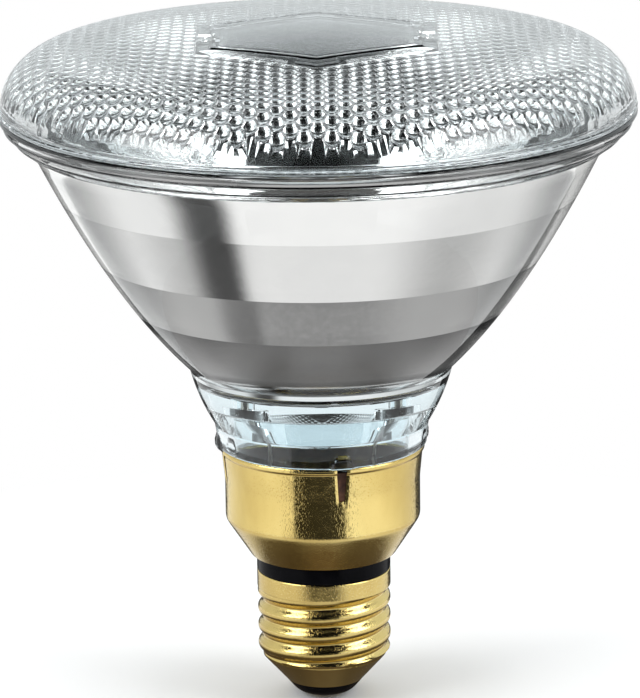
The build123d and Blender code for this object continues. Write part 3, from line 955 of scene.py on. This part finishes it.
def makeWorld():
    # white to the camera; what shines and what shows through sees it fall off overhead
    world = bpy.data.worlds.new("studio")
    scene.world = world
    world.use_nodes = True
    tree = world.node_tree
    path = tree.nodes.new("ShaderNodeLightPath").outputs
    spot = axes(tree, tree.nodes.new("ShaderNodeTexCoord").outputs["Generated"])
    # the pale wall reaches higher at the sides, and behind the lamp as seen through the glass
    aside = sums(tree, "ABSOLUTE", spot["X"])
    sides = sums(tree, "ADD", *(spread(tree, aside, 0.0, *sky[key]) for key in ("nearAside", "farAside")))
    behind = sums(tree, "MULTIPLY", spot["Y"], path["Is Transmission Ray"])
    wall = sums(tree, "MULTIPLY", behind, sky["behind"])
    height = sums(tree, "SUBTRACT", sums(tree, "SUBTRACT", spot["Z"], wall), sides)
    overhead = spread(tree, height, 1.0, sky["overhead"], *sky["fall"])
    level = sums(tree, "MAXIMUM", path["Is Camera Ray"], overhead)
    dim = sums(tree, "MULTIPLY", path["Is Diffuse Ray"], sky["diffuse"])
    shown = sums(tree, "SUBTRACT", 1.0, path["Is Diffuse Ray"])
    fill(tree, tree.nodes["Background"], {
        "Color": ramp(tree, path["Is Camera Ray"], [(0.0, sky["tint"]), (1.0, (1, 1, 1))]),
        "Strength": sums(tree, "ADD", dim, sums(tree, "MULTIPLY", shown, level))})


# painted shadow of the lamp on the floor, seen only in metal: a glowing card, dark under the lamp
# stops are shares of the last ring; turned: where the front gives way to the side, |X| over the distance
baseCard = {"rings": (0, 30, 60, 100), "spokes": 96, "height": 0.6, "turned": (0.3, 0.7),
            "front": [(0.08, (0.14, 0.12, 0.1)), (0.2, (0.15, 0.11, 0.08)), (0.27, 0.34), (0.33, 0.75),
                      (0.6, 0.92), (0.75, 0.45), (0.87, 0.12)],
            "side": [(0.08, (0.1, 0.085, 0.07)), (0.2, (0.1, 0.08, 0.06)), (0.32, (0.14, 0.12, 0.1)),
                     (0.42, 0.7), (0.52, 1.0), (0.93, 1.0)]}


def makePaintedFootShadow():
    # painted reflection of the floor round the foot as the brass sees it, with painted shadow: dark under the
    # lamp, paler further out
    obj = turnedObject("baseCard", [(r, baseCard["height"]) for r in baseCard["rings"]], baseCard["spokes"])
    material, tree, glow = glowMaterial("paintedFootShadowGlow")
    place = objectPlace(tree)
    far = farOut(tree, place)
    share = spread(tree, far, 0.0, 1.0, 0.0, baseCard["rings"][-1] * mm)
    aside = sums(tree, "DIVIDE", sums(tree, "ABSOLUTE", axes(tree, place)["X"]), far)
    blend = tree.nodes.new("ShaderNodeMix")
    blend.data_type = "RGBA"
    fill(tree, blend, {"Factor": spread(tree, aside, 0.0, 1.0, *baseCard["turned"]),
                       6: ramp(tree, share, baseCard["front"]), 7: ramp(tree, share, baseCard["side"])})
    tree.links.new(blend.outputs[2], glow.inputs["Color"])
    obj.data.materials.append(material)
    obj.visible_camera = obj.visible_diffuse = obj.visible_shadow = obj.visible_transmission = False


# painted reflection for the mirror: a glowing card with painted shade of the floor round the foot
# front and side: level by distance; the pairs are ranges, in degrees from the front or in millimetres
bowlCard = {"reach": 240, "height": 0.5, "rings": 120, "spokes": 180, "draw": 28.0, "aside": (25, 75),
            "front": [(0, 0.13), (26, 0.15), (30, 0.16), (40, 0.4), (48, 0.5), (54, 0.23), (60, 0.2),
                      (65, 0.78), (80, 0.8), (92, 1.0)],
            "side": [(0, 0.1), (26, 0.15), (44, 0.4), (80, 0.4), (98, 0.84), (240, 0.88)],
            "stripe": -52.0, "stripeWidth": 11.0, "stripeLean": 1.6, "stripeDepth": (0.1, 0.88),
            "stripeFrom": (25, 80), "rear": (92, 142), "rearDim": 0.8, "right": (30, 100), "rightDim": 0.15,
            "farRight": (100, 140), "farRightDim": 0.1, "behind": (150, 170), "behindFade": (70, 100)}


def fromStops(stops, at):
    for (a, low), (b, high) in zip(stops, stops[1:]):
        if at <= b:
            return low + (high - low) * max(0, (at - a) / (b - a))
    return stops[-1][1]


def paintedBowlReflectionLevel(x, y):
    # painted shade and reflection: rings that follow the mirror's zones, a dark stripe to the left, dimmer to
    # the right and behind
    angle, far = math.degrees(math.atan2(x, -y)), math.hypot(x, y)

    def part(key, value):
        return smooth(*bowlCard[key], value)

    ring = far - bowlCard["draw"] * (1 - math.cos(math.radians(angle)))
    aside = part("aside", abs(angle))
    level = fromStops(bowlCard["front"], ring) * (1 - aside) + fromStops(bowlCard["side"], ring) * aside
    off = angle - bowlCard["stripe"]
    width = bowlCard["stripeWidth"] * (bowlCard["stripeLean"] if off < 0 else 1.0)
    least, more = bowlCard["stripeDepth"]
    level *= 1 - (least + more * part("stripeFrom", ring)) * math.exp(-(off / width) ** 4)
    level *= 1 - bowlCard["rearDim"] * part("rear", abs(angle))
    right, farRight = part("right", angle), part("farRight", angle)
    level *= 1 - bowlCard["rightDim"] * right - bowlCard["farRightDim"] * farRight
    return level + (1 - level) * part("behind", abs(angle)) * (1 - part("behindFade", far))


def makePaintedBowlReflection():
    # painted reflection of the floor and its shade, as the mirror sees it through the glass
    radii = [bowlCard["reach"] * k / bowlCard["rings"] for k in range(bowlCard["rings"] + 1)]
    obj = turnedObject("bowlCard", [(r, bowlCard["height"]) for r in radii], bowlCard["spokes"])
    shade = obj.data.color_attributes.new("shade", "FLOAT_COLOR", "POINT")
    for k, vert in enumerate(obj.data.vertices):
        level = paintedBowlReflectionLevel(vert.co.x / mm, vert.co.y / mm)
        shade.data[k].color = (level, level, level, 1)
    material, tree, glow = glowMaterial("paintedBowlReflectionGlow")
    paint = tree.nodes.new("ShaderNodeAttribute")
    paint.attribute_name = "shade"
    tree.links.new(paint.outputs["Color"], glow.inputs["Color"])
    obj.data.materials.append(material)
    obj.visible_camera = obj.visible_diffuse = obj.visible_shadow = obj.visible_glossy = False


# darkCards: corners; flags lie just over the floor: inner and outer radius, first and last angle, level
darkCards = {"behindCamera": [(-620, -1000, 0), (470, -1000, 0), (470, -1000, 600), (-620, -1000, 600)],
             "aboveCamera": [(-620, -1000, 600), (470, -1000, 600), (380, -250, 1250), (-480, -250, 1250)],
             "behindLens": [(-75, 72, 99), (75, 72, 99), (75, 72, 135), (-75, 72, 135)]}
flags = {"frontFlag": (96, 450, -32, 25, 0.03), "backFlag": (60, 450, 135, 212, 0.05)}
card = {"dark": 0.003, "flagHeight": 1.0, "flagSteps": 12}


def makeCard(name, corners, level, through, shines=True):
    obj = meshObject(name, corners, [tuple(range(len(corners)))])
    obj.data.materials.append(stageMaterial(name + "Paint", level, gloss=0.0))
    obj.visible_camera = obj.visible_diffuse = obj.visible_shadow = False
    obj.visible_transmission, obj.visible_glossy = through, shines


def makeFlag(name, inner, outer, start, end, level):
    steps, z = card["flagSteps"], card["flagHeight"]
    angles = [math.radians(start + (end - start) * k / steps) for k in range(steps + 1)]
    corners = [(outer * math.sin(a), -outer * math.cos(a), z) for a in angles]
    corners += [(inner * math.sin(a), -inner * math.cos(a), z) for a in reversed(angles)]
    makeCard(name, corners, level, through=False)


# place and size in metres, power in watts, and whether metal and glass show the light
lights = {"left": ((-0.9, -0.5, 0.8), (0.7, 0.9), 9, True), "right": ((0.9, -0.4, 0.7), (0.6, 0.9), 7, True),
          "top": ((0.0, 0.3, 1.3), (1.0, 1.0), 10, False)}
lightTarget = (0, 0, 0.07)


def aimed(place, target):
    return (Vector(target) - Vector(place)).to_track_quat("-Z", "Y")


def makeLight(name, place, size, power, shines):
    data = bpy.data.lights.new(name, "AREA")
    data.shape = "RECTANGLE"
    data.size, data.size_y = size
    data.energy = power
    obj = newObject(name, data)
    obj.location = place
    obj.rotation_euler = aimed(place, lightTarget).to_euler()
    obj.visible_glossy = obj.visible_transmission = shines


# place and target in metres, lens and sensor in millimetres, roll in degrees
view = {"lens": 244.3, "sensor": 36, "clip": (0.05, 20), "place": (0, -0.8882, 0.3067),
        "target": (-0.00017, 0, 0.0701), "roll": -0.77}


def makeCamera():
    data = bpy.data.cameras.new("camera")
    data.lens = view["lens"]
    data.sensor_width = view["sensor"]
    data.clip_start, data.clip_end = view["clip"]
    obj = newObject("camera", data)
    obj.location = view["place"]
    obj.rotation_mode = "QUATERNION"
    roll = Matrix.Rotation(math.radians(view["roll"]), 3, "Z").to_quaternion()
    obj.rotation_quaternion = aimed(view["place"], view["target"]) @ roll
    scene.camera = obj


makeFloor()
makeWorld()
makePaintedFootShadow()
makePaintedBowlReflection()
for name, choices in flags.items():
    makeFlag(name, *choices)
for name, corners in darkCards.items():  # the one behind the lens is seen only through it
    makeCard(name, corners, card["dark"], through=True, shines=name != "behindLens")
for name, choices in lights.items():
    makeLight(name, *choices)
makeCamera()
scene.view_settings.view_transform = "Standard"
print("stage made")
